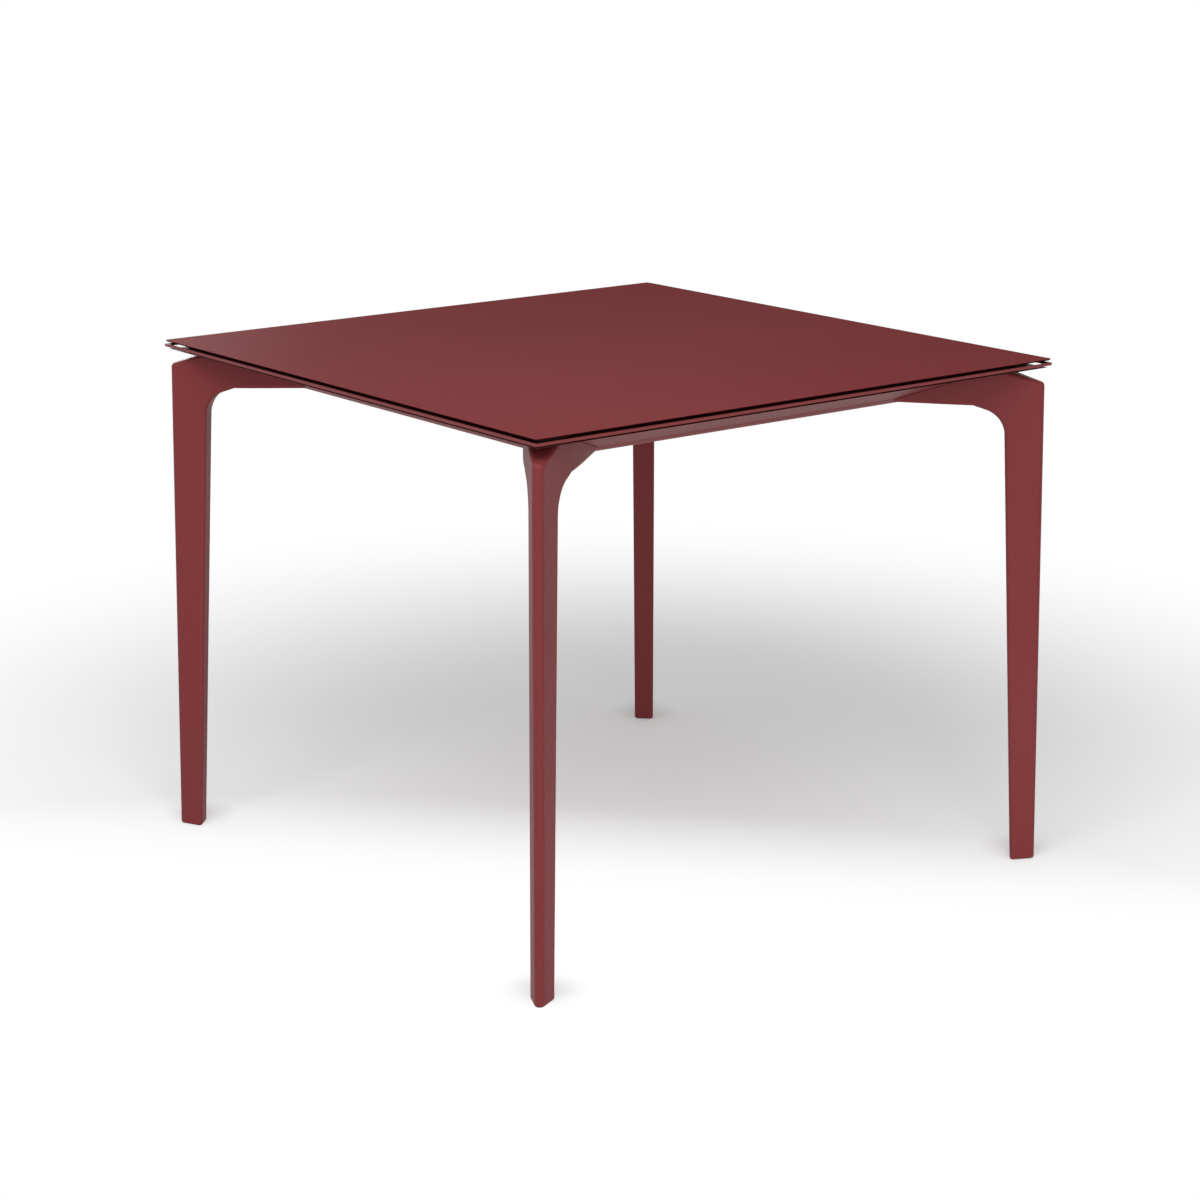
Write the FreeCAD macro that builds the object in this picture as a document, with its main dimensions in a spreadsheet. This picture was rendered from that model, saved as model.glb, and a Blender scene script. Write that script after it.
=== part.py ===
import FreeCAD, Part
import itertools
import math
import os
import Sketcher

# Square dining table: a thin sheet top over four mitred hollow rails, on four cast legs.
# +Z is up and the origin lies on the floor under the middle of the top.
# Insets are measured inward from the edge or corner of the top, drops downward from its upper face.

document = FreeCAD.newDocument("square_table")
sheet = document.addObject("Spreadsheet::Sheet", "Sizes")
rows = itertools.count(1)

UP = FreeCAD.Vector(0, 0, 1)
SKETCH_UP = FreeCAD.Vector(0, 1, 0)
QUARTER_TURN = 90.0
EIGHTH_TURN = QUARTER_TURN / 2


class Dim:
    """A number together with the sheet formula that gives it."""

    def __init__(self, value, text):
        self.value = value
        self.text = text

    def __add__(self, other):
        other = as_dim(other)
        return Dim(self.value + other.value, "(%s + %s)" % (self.text, other.text))

    def __sub__(self, other):
        other = as_dim(other)
        return Dim(self.value - other.value, "(%s - %s)" % (self.text, other.text))

    def __mul__(self, other):
        other = as_dim(other)
        return Dim(self.value * other.value, "(%s * %s)" % (self.text, other.text))

    def __truediv__(self, other):
        other = as_dim(other)
        return Dim(self.value / other.value, "(%s / %s)" % (self.text, other.text))

    def __neg__(self):
        return Dim(-self.value, "(0 - %s)" % self.text)

    def root(self):
        return Dim(math.sqrt(self.value), "sqrt(%s)" % self.text)


def as_dim(number):
    return number if isinstance(number, Dim) else Dim(float(number), repr(float(number)))


def size(name, value):
    """Write one driving dimension into the sheet."""
    row = next(rows)
    sheet.set("A%d" % row, name)
    sheet.set("B%d" % row, str(value))
    sheet.setAlias("B%d" % row, name)
    return Dim(float(value), "Sizes.%s" % name)


def slant(slope):
    """Length along a slope for each unit along its base."""
    return (slope * slope + 1).root()


def bind(item, name, dim):
    setattr(item, name, dim.value)
    item.setExpression(name, dim.text)


ZERO = as_dim(0)
ROOT_TWO = as_dim(2).root()


# Sketches, pads and cuts

def new_body(label):
    body = document.addObject("PartDesign::Body", label)
    body.Label = label
    return body


def plane(body, role):
    return next(item for item in body.Origin.OriginFeatures if item.Role == role)


def sketch_on(body, role, name, lift=ZERO, turn=0):
    """Sketch on an origin plane, lifted along its normal and turned about the vertical."""
    sketch = body.newObject("Sketcher::SketchObject", name)
    sketch.AttachmentSupport = [(plane(body, role), "")]
    sketch.MapMode = "FlatFace"
    base = FreeCAD.Vector(0, 0, lift.value)
    sketch.AttachmentOffset = FreeCAD.Placement(base, FreeCAD.Rotation(SKETCH_UP, turn))
    sketch.setExpression("AttachmentOffset.Base.z", lift.text)
    return sketch


def pin(sketch, edge, end, x, y):
    """Tie one point of an edge to its place."""
    for kind, dim, axis in (("DistanceX", x, -2), ("DistanceY", y, -1)):
        if dim is ZERO:
            sketch.addConstraint(Sketcher.Constraint("PointOnObject", edge, end, axis))
            continue
        row = sketch.addConstraint(Sketcher.Constraint(kind, -1, 1, edge, end, dim.value))
        sketch.setExpression("Constraints[%d]" % row, dim.text)


def set_radius(sketch, edge, radius):
    row = sketch.addConstraint(Sketcher.Constraint("Radius", edge, radius.value))
    sketch.setExpression("Constraints[%d]" % row, radius.text)


def arc_through(start, end, radius):
    """Arc from start to end that turns anticlockwise."""
    chord = end - start
    left = FreeCAD.Vector(-chord.y, chord.x, 0).normalize()
    rise = math.sqrt(radius * radius - chord.Length * chord.Length / 4)
    centre = (start + end) * 0.5 + left * rise
    first = math.atan2(start.y - centre.y, start.x - centre.x)
    last = math.atan2(end.y - centre.y, end.x - centre.x)
    if last < first:
        last += 2 * math.pi
    return Part.ArcOfCircle(Part.Circle(centre, UP, radius), first, last)


def outline(sketch, points, bends={}):
    """Closed outline; bends holds the radius of each edge that is an arc, drawn anticlockwise."""
    places = [FreeCAD.Vector(x.value, y.value, 0) for x, y in points]
    edges = []
    for number, start in enumerate(places):
        end = places[(number + 1) % len(places)]
        if number in bends:
            edges.append(sketch.addGeometry(arc_through(start, end, bends[number].value)))
        else:
            edges.append(sketch.addGeometry(Part.LineSegment(start, end)))
    for number, edge in enumerate(edges):
        following = edges[(number + 1) % len(edges)]
        sketch.addConstraint(Sketcher.Constraint("Coincident", edge, 2, following, 1))
    for edge, (x, y) in zip(edges, points):
        pin(sketch, edge, 1, x, y)
    for number, radius in bends.items():
        set_radius(sketch, edges[number], radius)


def circle(sketch, x, y, radius):
    ring = Part.Circle(FreeCAD.Vector(x.value, y.value, 0), UP, radius.value)
    edge = sketch.addGeometry(ring)
    pin(sketch, edge, 3, x, y)
    set_radius(sketch, edge, radius)


def hexagon(sketch, x, y, corner_radius):
    """Hexagon with two corners on a line along X."""
    half_flat = corner_radius * as_dim(3).root() / 2
    points = [(x + corner_radius, y), (x + corner_radius / 2, y + half_flat)]
    points += [(x - corner_radius / 2, y + half_flat), (x - corner_radius, y)]
    points += [(x - corner_radius / 2, y - half_flat), (x + corner_radius / 2, y - half_flat)]
    outline(sketch, points)


def rectangle(sketch, left, right, low, high):
    outline(sketch, [(left, low), (right, low), (right, high), (left, high)])


def pad(body, sketch, name, length, side="One side", reverse=False):
    feature = body.newObject("PartDesign::Pad", name)
    feature.Profile = sketch
    bind(feature, "Length", length)
    feature.SideType = side
    feature.Reversed = reverse
    return feature


def pocket(body, sketch, name, length=None, side="Symmetric", reverse=False):
    """Cut to a length, or right through where no length is given."""
    feature = body.newObject("PartDesign::Pocket", name)
    feature.Profile = sketch
    feature.SideType = side
    feature.Reversed = reverse
    if length is None:
        feature.Type = "ThroughAll"
    else:
        bind(feature, "Length", length)
    return feature


def round_edges(body, base, name, radius, wanted):
    """Fillet those edges of a feature that the test accepts."""
    document.recompute()
    edges = [(edge, "Edge%d" % (row + 1)) for row, edge in enumerate(base.Shape.Edges) if wanted(edge)]
    edges.sort(key=lambda pair: -middle(pair[0]).z)
    feature = body.newObject("PartDesign::Fillet", name)
    feature.Base = (base, [name for edge, name in edges])
    bind(feature, "Radius", radius)
    document.recompute()
    return feature


def mirror(body, name):
    """Double a half model across the vertical plane through its diagonal."""
    half_model = body.Tip
    feature = body.newObject("PartDesign::Mirrored", name)
    feature.BaseFeature = half_model
    feature.TransformMode = "Whole shape"
    feature.MirrorPlane = (plane(body, "XZ_Plane"), [""])
    body.Tip = feature
    return feature


def middle(edge):
    first, last = edge.ParameterRange
    return edge.valueAt((first + last) / 2)


def quarter_turns(x, y):
    """One place on the front side and its three turned copies."""
    return [(x, y), (-y, x), (-x, -y), (y, -x)]


# Overall sizes

side = size("side", 900.0)
height = size("height", 740.0)
overrun = size("overrun", 20.0)
fit_gap = size("fit_gap", 0.3)
half = side / 2


def level(drop):
    return height - drop


# Top panel: aluminium sheet with rounded corners and a bevelled under-edge

panel_thickness = size("panel_thickness", 2.5)
panel_corner_radius = size("panel_corner_radius", 4.0)
panel_bevel = size("panel_bevel", 2.2)

top_panel = new_body("top_panel")
panel_sketch = sketch_on(top_panel, "XY_Plane", "panel_outline", level(panel_thickness))
rectangle(panel_sketch, -half, half, -half, half)
panel_sheet = pad(top_panel, panel_sketch, "panel_sheet", panel_thickness)


def stands_upright(edge):
    low, high = edge.BoundBox.ZMin, edge.BoundBox.ZMax
    return high - low > panel_thickness.value / 2


panel_rounded = round_edges(top_panel, panel_sheet, "panel_rounded", panel_corner_radius, stands_upright)


def on_panel_underside(edge):
    return edge.BoundBox.ZMax < level(panel_thickness).value + panel_bevel.value / 2


under_edges = enumerate(panel_rounded.Shape.Edges)
under_names = ["Edge%d" % (row + 1) for row, edge in under_edges if on_panel_underside(edge)]
panel_bevelled = top_panel.newObject("PartDesign::Chamfer", "panel_bevelled")
panel_bevelled.Base = (panel_rounded, under_names)
bind(panel_bevelled, "Size", panel_bevel)

# Rails: hollow extrusions with a free lip, a knife edge below it and a sloping web down to a toe

tape_thickness = size("tape_thickness", 1.0)
rail_wall = size("rail_wall", 3.0)
body_setback = size("body_setback", 24.0)
lip_drop = size("lip_drop", 5.5)
lip_height = size("lip_height", 3.9)
lip_width = size("lip_width", 1.8)
lip_fin_thickness = size("lip_fin_thickness", 1.8)
knife_setback = size("knife_setback", 4.2)
knife_drop = size("knife_drop", 12.7)
knife_land = size("knife_land", 0.3)
knife_root = size("knife_root", 2.3)
web_start = size("web_start", 35.0)
web_end = size("web_end", 116.5)
web_end_drop = size("web_end_drop", 52.3)
toe_inset = size("toe_inset", 132.8)
toe_drop = size("toe_drop", 61.9)
toe_radius = size("toe_radius", 26.0)
inner_wall_inset = size("inner_wall_inset", 136.0)
toe_bevel = size("toe_bevel", 2.0)
ledge_inset = size("ledge_inset", 160.0)
chamber_start = size("chamber_start", 40.0)
corner_window = size("corner_window", 62.0)

seat_drop = panel_thickness + tape_thickness
web_slope = (web_end_drop - knife_drop) / (web_end - web_start)
web_cover = rail_wall * slant(web_slope)


def web_drop(inset):
    """Drop of the web's outer face."""
    return knife_drop + (inset - web_start) * web_slope


rail_outline = [
    (body_setback, seat_drop), (body_setback, lip_drop), (ZERO, lip_drop),
    (ZERO, lip_drop + lip_height), (lip_width, lip_drop + lip_height),
    (lip_width, lip_drop + lip_fin_thickness), (body_setback, lip_drop + lip_fin_thickness),
    (body_setback, knife_drop - knife_root), (knife_setback, knife_drop - knife_land),
    (knife_setback, knife_drop), (web_start, knife_drop), (web_end, web_end_drop),
    (toe_inset, toe_drop), (inner_wall_inset, toe_drop - toe_bevel),
    (inner_wall_inset, seat_drop + rail_wall), (ledge_inset, seat_drop + rail_wall),
    (ledge_inset, seat_drop),
]
toe_edge = rail_outline.index((web_end, web_end_drop))
chamber_outline = [
    (chamber_start, seat_drop + rail_wall), (chamber_start, web_drop(chamber_start) - web_cover),
    (web_end, web_end_drop - web_cover),
    (inner_wall_inset - rail_wall, toe_drop - toe_bevel - rail_wall),
    (inner_wall_inset - rail_wall, seat_drop + rail_wall),
]


def from_edge(points):
    """Insets and drops as places on the front side's upright section."""
    return [(inset - half, level(drop)) for inset, drop in points]


# Leg bolts, two into each rail of a corner

bolt_radius = size("bolt_radius", 4.0)
bolt_clearance = size("bolt_clearance", 0.5)
bolt_head_radius = size("bolt_head_radius", 6.5)
bolt_head_height = size("bolt_head_height", 5.0)
bolt_socket_radius = size("bolt_socket_radius", 2.9)
bolt_socket_depth = size("bolt_socket_depth", 2.5)
outer_bolt_inset = size("outer_bolt_inset", 116.0)
outer_bolt_offset = size("outer_bolt_offset", 16.0)
outer_bolt_seat_drop = size("outer_bolt_seat_drop", 57.0)
outer_bolt_length = size("outer_bolt_length", 40.0)
inner_bolt_inset = size("inner_bolt_inset", 157.0)
inner_bolt_offset = size("inner_bolt_offset", 20.0)
inner_bolt_seat_drop = size("inner_bolt_seat_drop", 55.0)
inner_bolt_length = size("inner_bolt_length", 25.0)

BOLTS = {
    "long": (outer_bolt_inset, outer_bolt_offset, outer_bolt_seat_drop, outer_bolt_length),
    "short": (inner_bolt_inset, inner_bolt_offset, inner_bolt_seat_drop, inner_bolt_length),
}
bolt_hole_radius = bolt_radius + bolt_clearance


def across(inset, offset):
    """Inset from the nearer side of a corner of a place given along and across its diagonal."""
    return (inset - offset) / ROOT_TWO


def along(inset, offset):
    """Inset of that place from the corner's other side."""
    return (inset + offset) / ROOT_TWO


# Panel studs on the rails' inner ledge

stud_radius = size("stud_radius", 2.5)
stud_length = size("stud_length", 16.0)
stud_spacing = size("stud_spacing", 220.0)
ledge_middle = (inner_wall_inset + ledge_inset) / 2
stud_hole_radius = stud_radius + bolt_clearance
STUD_ROW = [-stud_spacing, ZERO, stud_spacing]


def make_rail(label, turn):
    rail = new_body(label)
    section = sketch_on(rail, "YZ_Plane", label + "_section")
    outline(section, from_edge(rail_outline), {toe_edge: toe_radius})
    outline(section, from_edge(chamber_outline))
    pad(rail, section, label + "_extrusion", side, side="Symmetric")
    mitre = sketch_on(rail, "XY_Plane", label + "_mitre")
    reach = ledge_inset + overrun
    for hand in (1, -1):
        corner = [(half + overrun, -half - overrun), (half + overrun, reach - half), (half - reach, reach - half)]
        outline(mitre, [(x * hand, y) for x, y in corner])
    pocket(rail, mitre, label + "_mitre_cut")
    window_level = level(lip_drop + lip_height)
    windows = sketch_on(rail, "XY_Plane", label + "_windows", window_level)
    for hand in (1, -1):
        ends = sorted(((half - corner_window) * hand, (half + overrun) * hand), key=lambda end: end.value)
        rectangle(windows, ends[0], ends[1], lip_width - half, body_setback - half)
    pocket(rail, windows, label + "_window_cut", side="One side", reverse=True)
    holes = sketch_on(rail, "XY_Plane", label + "_bolt_holes")
    for inset, offset, seat, length in BOLTS.values():
        for hand in (1, -1):
            place = (half - along(inset, offset)) * hand
            circle(holes, place, across(inset, offset) - half, bolt_hole_radius)
    chamber_top = level(seat_drop + rail_wall)
    pocket(rail, holes, label + "_bolt_cut", chamber_top - rail_wall, side="One side", reverse=True)
    stud_holes = sketch_on(rail, "XY_Plane", label + "_stud_holes")
    for place in STUD_ROW:
        circle(stud_holes, place, ledge_middle - half, stud_hole_radius)
    pocket(rail, stud_holes, label + "_stud_cut")
    rail.Placement.Rotation = FreeCAD.Rotation(UP, turn)
    return rail


SIDES = ["front", "right", "back", "left"]
rails = [make_rail("rail_" + name, QUARTER_TURN * turn) for turn, name in enumerate(SIDES)]

# Legs: hollow aluminium castings. A kite-shaped post leans and tapers to the foot. Its head has a sloping
# shoulder at the corner and a curved-in arm along the diagonal, whose top lies against both rails' webs.
# Each leg is drawn with the floor under the top's corner at its origin and the diagonal along X.

glide_stand = size("glide_stand", 0.6)
post_top_inset = size("post_top_inset", 9.4)
post_top_radius = size("post_top_radius", 8.2)
post_top_slope_share = size("post_top_slope_share", 0.2423)
post_foot_overhang = size("post_foot_overhang", 3.6)
post_foot_radius = size("post_foot_radius", 7.3)
post_foot_slope_share = size("post_foot_slope_share", 0.355)
back_top_inset = size("back_top_inset", 67.1)
back_foot_inset = size("back_foot_inset", 31.4)
arm_reach = size("arm_reach", 236.0)
arm_half_width = size("arm_half_width", 51.8)
arm_slope_share = size("arm_slope_share", 0.1495)
arm_bend_tangent = size("arm_bend_tangent", 36.0)
foot_bend_tangent = size("foot_bend_tangent", 10.0)
arm_end_drop = size("arm_end_drop", 57.0)
arm_kink_inset = size("arm_kink_inset", 107.7)
arm_kink_drop = size("arm_kink_drop", 64.0)
arch_slope_share = size("arch_slope_share", 0.37)
arch_radius = size("arch_radius", 42.0)
back_edge_radius = size("back_edge_radius", 5.0)
foot_edge_radius = size("foot_edge_radius", 3.0)
shoulder_drop = size("shoulder_drop", 34.2)
shoulder_slope_share = size("shoulder_slope_share", 0.3304)
shoulder_edge_radius = size("shoulder_edge_radius", 6.0)
seat_reveal = size("seat_reveal", 0.6)
seat_margin = size("seat_margin", 1.6)
seat_start = size("seat_start", 72.0)
toe_relief = size("toe_relief", 4.0)
toe_relief_drop = size("toe_relief_drop", 5.0)
core_height = size("core_height", 560.0)
core_foot_back = size("core_foot_back", 26.4)
core_foot_front = size("core_foot_front", 4.4)
core_foot_back_width = size("core_foot_back_width", 10.3)
core_foot_front_width = size("core_foot_front_width", 1.8)
core_top_back = size("core_top_back", 53.4)
core_top_front = size("core_top_front", 18.4)
core_top_back_width = size("core_top_back_width", 13.6)
core_top_front_width = size("core_top_front_width", 3.4)

back_slope = (back_top_inset - back_foot_inset) / height
arm_rise_slope = (arm_kink_drop - arm_end_drop) / (arm_reach - arm_kink_inset)

# The arch runs straight from the arm's kink, then turns on one radius into the post's back
arch_corner_drop = arm_kink_drop + arch_slope_share * (arm_kink_inset - back_top_inset)
arch_corner_drop = arch_corner_drop / (-arch_slope_share * back_slope + 1)
arch_corner_inset = back_foot_inset + back_slope * level(arch_corner_drop)
arch_cosine = (back_slope + arch_slope_share) / (slant(arch_slope_share) * slant(back_slope))
arch_tangent = arch_radius * ((-arch_cosine + 1) / (arch_cosine + 1)).root()
arch_top_inset = arch_corner_inset + arch_tangent / slant(arch_slope_share)
arch_top_drop = arch_corner_drop - arch_slope_share * arch_tangent / slant(arch_slope_share)
arch_foot_drop = arch_corner_drop + arch_tangent / slant(back_slope)


def back_inset(z):
    return back_foot_inset + back_slope * z


def plan(apex_inset, radius, slope, tangent):
    """Half of the leg's plan: nose, side face, bend and arm, with the radii of its arcs."""
    nose = apex_inset + radius
    start = arm_half_width - arm_slope_share * arm_reach
    corner = (start - radius * slant(slope) + slope * nose) / (slope - arm_slope_share)
    bend_start = corner - tangent / slant(slope)
    bend_end = corner + tangent / slant(arm_slope_share)
    turn = (slope - arm_slope_share) / (slope * arm_slope_share + 1)
    bend_radius = tangent * turn / (slant(turn) - 1)
    points = [
        (-apex_inset, ZERO),
        (radius * slope / slant(slope) - nose, radius / slant(slope)),
        (-bend_start, radius * slant(slope) + slope * (bend_start - nose)),
        (-bend_end, start + arm_slope_share * bend_end),
        (-arm_reach, arm_half_width),
        (-arm_reach, ZERO),
    ]
    return points, {0: radius, 2: bend_radius}


def core(back, front, back_width, front_width):
    """Half of the hollow's plan."""
    return [(-front, ZERO), (-front, front_width), (-back, back_width), (-back, ZERO)]


def near_back(point):
    """True where a point lies on the post's back, the arch or the arm's underside."""
    inset, drop = -point.x, height.value - point.z
    if drop > arch_foot_drop.value:
        return abs(inset - back_inset(as_dim(point.z)).value) < fit_gap.value
    if inset > arm_kink_inset.value:
        under = arm_kink_drop - arm_rise_slope * (as_dim(inset) - arm_kink_inset)
        return abs(drop - under.value) < fit_gap.value
    return arm_kink_drop.value - fit_gap.value < drop


def runs_along_back(edge):
    box = edge.BoundBox
    if box.YMin < post_foot_radius.value or box.XLength + box.ZLength < fit_gap.value:
        return False
    if box.ZLength < fit_gap.value and box.XLength < fit_gap.value:
        return False
    ends = [vertex.Point for vertex in edge.Vertexes]
    on_end = all(abs(point.x + arm_reach.value) < fit_gap.value for point in ends)
    return not on_end and all(near_back(point) for point in ends + [middle(edge)])


def rings_foot(edge):
    box = edge.BoundBox
    return box.ZMax < glide_stand.value + fit_gap.value and box.YMax > fit_gap.value


def on_shoulder(edge):
    if edge.BoundBox.YMax < fit_gap.value:
        return False
    rise = [point_above_shoulder(vertex.Point) for vertex in edge.Vertexes] + [point_above_shoulder(middle(edge))]
    return max(abs(value) for value in rise) < fit_gap.value / 2


shoulder_inset = post_top_inset - (post_top_inset + post_foot_overhang) * shoulder_drop / height


def point_above_shoulder(point):
    line = level(shoulder_drop).value + shoulder_slope_share.value * (-point.x - shoulder_inset.value)
    return point.z - line


def cut_nest(leg, name, reveal):
    """Cut the arm's top to the rails' webs, or a reveal below them."""
    nest = sketch_on(leg, "XZ_Plane", name + "_section", turn=EIGHTH_TURN)
    end = web_end - fit_gap
    relief = web_end + toe_relief
    far = arm_reach + overrun
    below = level(arm_kink_drop + overrun)
    outline(nest, [
        (overrun, height + overrun), (overrun, level(knife_drop + reveal)),
        (-web_start, level(knife_drop + reveal)), (-end, level(web_drop(end) + reveal)),
        (-relief, level(web_end_drop + toe_relief_drop)), (-relief, below), (-far, below), (-far, height + overrun),
    ])
    pocket(leg, nest, name)


def seat_outline():
    """Half of the plan of the machined seat, inside the arm's edge by a margin."""
    points, bends = plan(post_top_inset, post_top_radius, post_top_slope_share, arm_bend_tangent)
    side_start = points[1]
    slope = post_top_slope_share
    near_width = side_start[1] + slope * (seat_start + side_start[0]) - seat_margin
    bend = -points[2][0]
    bend_width = points[2][1] - seat_margin
    return [
        (-seat_start, ZERO), (-seat_start, near_width), (-bend, bend_width),
        (-arm_reach, arm_half_width - seat_margin), (-arm_reach, ZERO),
    ]


def make_leg(label, turn, corner_x, corner_y):
    leg = new_body(label)
    foot_plan = sketch_on(leg, "XY_Plane", label + "_foot_plan", glide_stand)
    points, bends = plan(-post_foot_overhang, post_foot_radius, post_foot_slope_share, foot_bend_tangent)
    outline(foot_plan, points, bends)
    head_plan = sketch_on(leg, "XY_Plane", label + "_head_plan", height)
    points, bends = plan(post_top_inset, post_top_radius, post_top_slope_share, arm_bend_tangent)
    outline(head_plan, points, bends)
    blank = leg.newObject("PartDesign::AdditiveLoft", label + "_blank")
    blank.Profile = foot_plan
    blank.Sections = [head_plan]
    blank.Ruled = True

    arch = sketch_on(leg, "XZ_Plane", label + "_arch")
    arch_foot = level(arch_foot_drop)
    far = arm_reach + overrun
    outline(arch, [
        (-back_inset(-overrun), -overrun), (-back_inset(arch_foot), arch_foot),
        (-arch_top_inset, level(arch_top_drop)), (-arm_kink_inset, level(arm_kink_drop)),
        (-far, level(arm_end_drop - arm_rise_slope * overrun)), (-far, -overrun),
    ], {1: arch_radius})
    arched = pocket(leg, arch, label + "_arched")
    eased = round_edges(leg, arched, label + "_eased", back_edge_radius, runs_along_back)
    footed = round_edges(leg, eased, label + "_footed", foot_edge_radius, rings_foot)

    shoulder = sketch_on(leg, "XZ_Plane", label + "_shoulder")
    outside = post_foot_overhang + overrun
    outline(shoulder, [
        (outside, level(shoulder_drop) - shoulder_slope_share * (outside + shoulder_inset)),
        (outside, height + overrun),
        (-shoulder_inset - (shoulder_drop + overrun) / shoulder_slope_share, height + overrun),
    ])
    shouldered = pocket(leg, shoulder, label + "_shouldered")
    round_edges(leg, shouldered, label + "_shoulder_eased", shoulder_edge_radius, on_shoulder)

    cut_nest(leg, label + "_revealed", seat_reveal)
    seat_plan = sketch_on(leg, "XY_Plane", label + "_seat_plan", level(web_end_drop + seat_reveal))
    outline(seat_plan, seat_outline())
    pad(leg, seat_plan, label + "_seat", web_end_drop + seat_reveal)
    cut_nest(leg, label + "_nested", ZERO)

    for name, (inset, offset, seat, length) in BOLTS.items():
        recess = sketch_on(leg, "XY_Plane", label + "_recess_" + name)
        circle(recess, -inset, offset, bolt_head_radius + bolt_clearance)
        pocket(leg, recess, label + "_recessed_" + name, level(seat), side="One side", reverse=True)
        hole = sketch_on(leg, "XY_Plane", label + "_hole_" + name)
        circle(hole, -inset, offset, bolt_hole_radius)
        pocket(leg, hole, label + "_bored_" + name)

    core_foot = sketch_on(leg, "XY_Plane", label + "_core_foot")
    outline(core_foot, core(core_foot_back, core_foot_front, core_foot_back_width, core_foot_front_width))
    core_top = sketch_on(leg, "XY_Plane", label + "_core_top", core_height)
    outline(core_top, core(core_top_back, core_top_front, core_top_back_width, core_top_front_width))
    hollow = leg.newObject("PartDesign::SubtractiveLoft", label + "_hollow")
    hollow.Profile = core_foot
    hollow.Sections = [core_top]
    hollow.Ruled = True
    mirror(leg, label + "_whole")
    place_at_corner(leg, turn, corner_x, corner_y)
    return leg


def place_at_corner(body, turn, corner_x, corner_y):
    body.Placement = FreeCAD.Placement(FreeCAD.Vector(corner_x.value, corner_y.value, 0), FreeCAD.Rotation(UP, turn))
    body.setExpression("Placement.Base.x", corner_x.text)
    body.setExpression("Placement.Base.y", corner_y.text)


CORNER_NAMES = ["front_right", "back_right", "back_left", "front_left"]
corner_places = [
    (name, QUARTER_TURN * turn - EIGHTH_TURN) + place
    for turn, (name, place) in enumerate(zip(CORNER_NAMES, quarter_turns(half, -half)))
]
legs = [make_leg("leg_" + name, turn, x, y) for name, turn, x, y in corner_places]

# Corner blocks: threaded blocks inside each mitre, seated on both rails' webs

block_start = size("block_start", 60.0)
block_end = size("block_end", 113.0)
block_top_drop = size("block_top_drop", 14.0)
block_reach = size("block_reach", 150.0)
thread_hole_radius = bolt_radius + fit_gap


def make_block(label, turn, corner_x, corner_y):
    block = new_body(label)
    section = sketch_on(block, "XZ_Plane", label + "_section", turn=EIGHTH_TURN)
    outline(section, [
        (-block_start, level(block_top_drop)), (-block_end, level(block_top_drop)),
        (-block_end, level(web_drop(block_end) - web_cover)),
        (-block_start, level(web_drop(block_start) - web_cover)),
    ])
    pad(block, section, label + "_bar", block_reach, reverse=True)
    mitre = sketch_on(block, "XY_Plane", label + "_mitre")
    far = block_reach * 2
    outline(mitre, [(-far, -far), (overrun, -far), (overrun, ZERO), (-far, ZERO)])
    pocket(block, mitre, label + "_mitred")
    holes = sketch_on(block, "XY_Plane", label + "_holes")
    for inset, offset, seat, length in BOLTS.values():
        circle(holes, -inset, offset, thread_hole_radius)
    pocket(block, holes, label + "_tapped")
    mirror(block, label + "_whole")
    place_at_corner(block, turn, corner_x, corner_y)
    return block


blocks = [make_block("corner_block_" + name, turn, x, y) for name, turn, x, y in corner_places]

# Leg bolts: low-head socket screws with their heads in the arm's recesses


def make_bolts(name, inset, offset, seat, length):
    bolts = new_body("leg_bolts_" + name)
    bolts.AllowCompound = True
    places = quarter_turns(half - along(inset, offset), across(inset, offset) - half)
    places += quarter_turns(along(inset, offset) - half, across(inset, offset) - half)
    heads = sketch_on(bolts, "XY_Plane", name + "_heads", level(seat))
    shanks = sketch_on(bolts, "XY_Plane", name + "_shanks", level(seat))
    sockets = sketch_on(bolts, "XY_Plane", name + "_sockets", level(seat + bolt_head_height))
    for x, y in places:
        circle(heads, x, y, bolt_head_radius)
        circle(shanks, x, y, bolt_radius)
        hexagon(sockets, x, y, bolt_socket_radius)
    pad(bolts, heads, name + "_head_pads", bolt_head_height, reverse=True)
    pad(bolts, shanks, name + "_shank_pads", length)
    pocket(bolts, sockets, name + "_socket_cuts", bolt_socket_depth, side="One side", reverse=True)
    return bolts


bolt_groups = [make_bolts(name, *places) for name, places in BOLTS.items()]

# Panel seats: foam strips near the rim and gaskets with stud holes on the ledge

tape_start = size("tape_start", 28.0)
tape_width = size("tape_width", 20.0)
gasket_margin = size("gasket_margin", 1.0)


def make_strip(label, turn, start, end, holes):
    strip = new_body(label)
    face = sketch_on(strip, "XY_Plane", label + "_face", level(seat_drop))
    reach = half - end - gasket_margin
    rectangle(face, -reach, reach, start - half, end - half)
    if holes:
        for place in STUD_ROW:
            circle(face, place, ledge_middle - half, stud_hole_radius)
    pad(strip, face, label + "_pad", tape_thickness)
    strip.Placement.Rotation = FreeCAD.Rotation(UP, turn)
    return strip


strips = []
for turn, name in enumerate(SIDES):
    angle = QUARTER_TURN * turn
    strips.append(make_strip("edge_tape_" + name, angle, tape_start, tape_start + tape_width, False))
    gasket_start = inner_wall_inset + gasket_margin
    gasket_end = ledge_inset - gasket_margin
    strips.append(make_strip("ledge_gasket_" + name, angle, gasket_start, gasket_end, True))

# Studs welded under the panel, with flange nuts below the ledge

nut_flange_radius = size("nut_flange_radius", 5.9)
nut_flange_height = size("nut_flange_height", 1.2)
nut_corner_radius = size("nut_corner_radius", 4.6)
nut_height = size("nut_height", 5.0)

stud_places = []
for place in STUD_ROW:
    stud_places += quarter_turns(place, ledge_middle - half)

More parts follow.
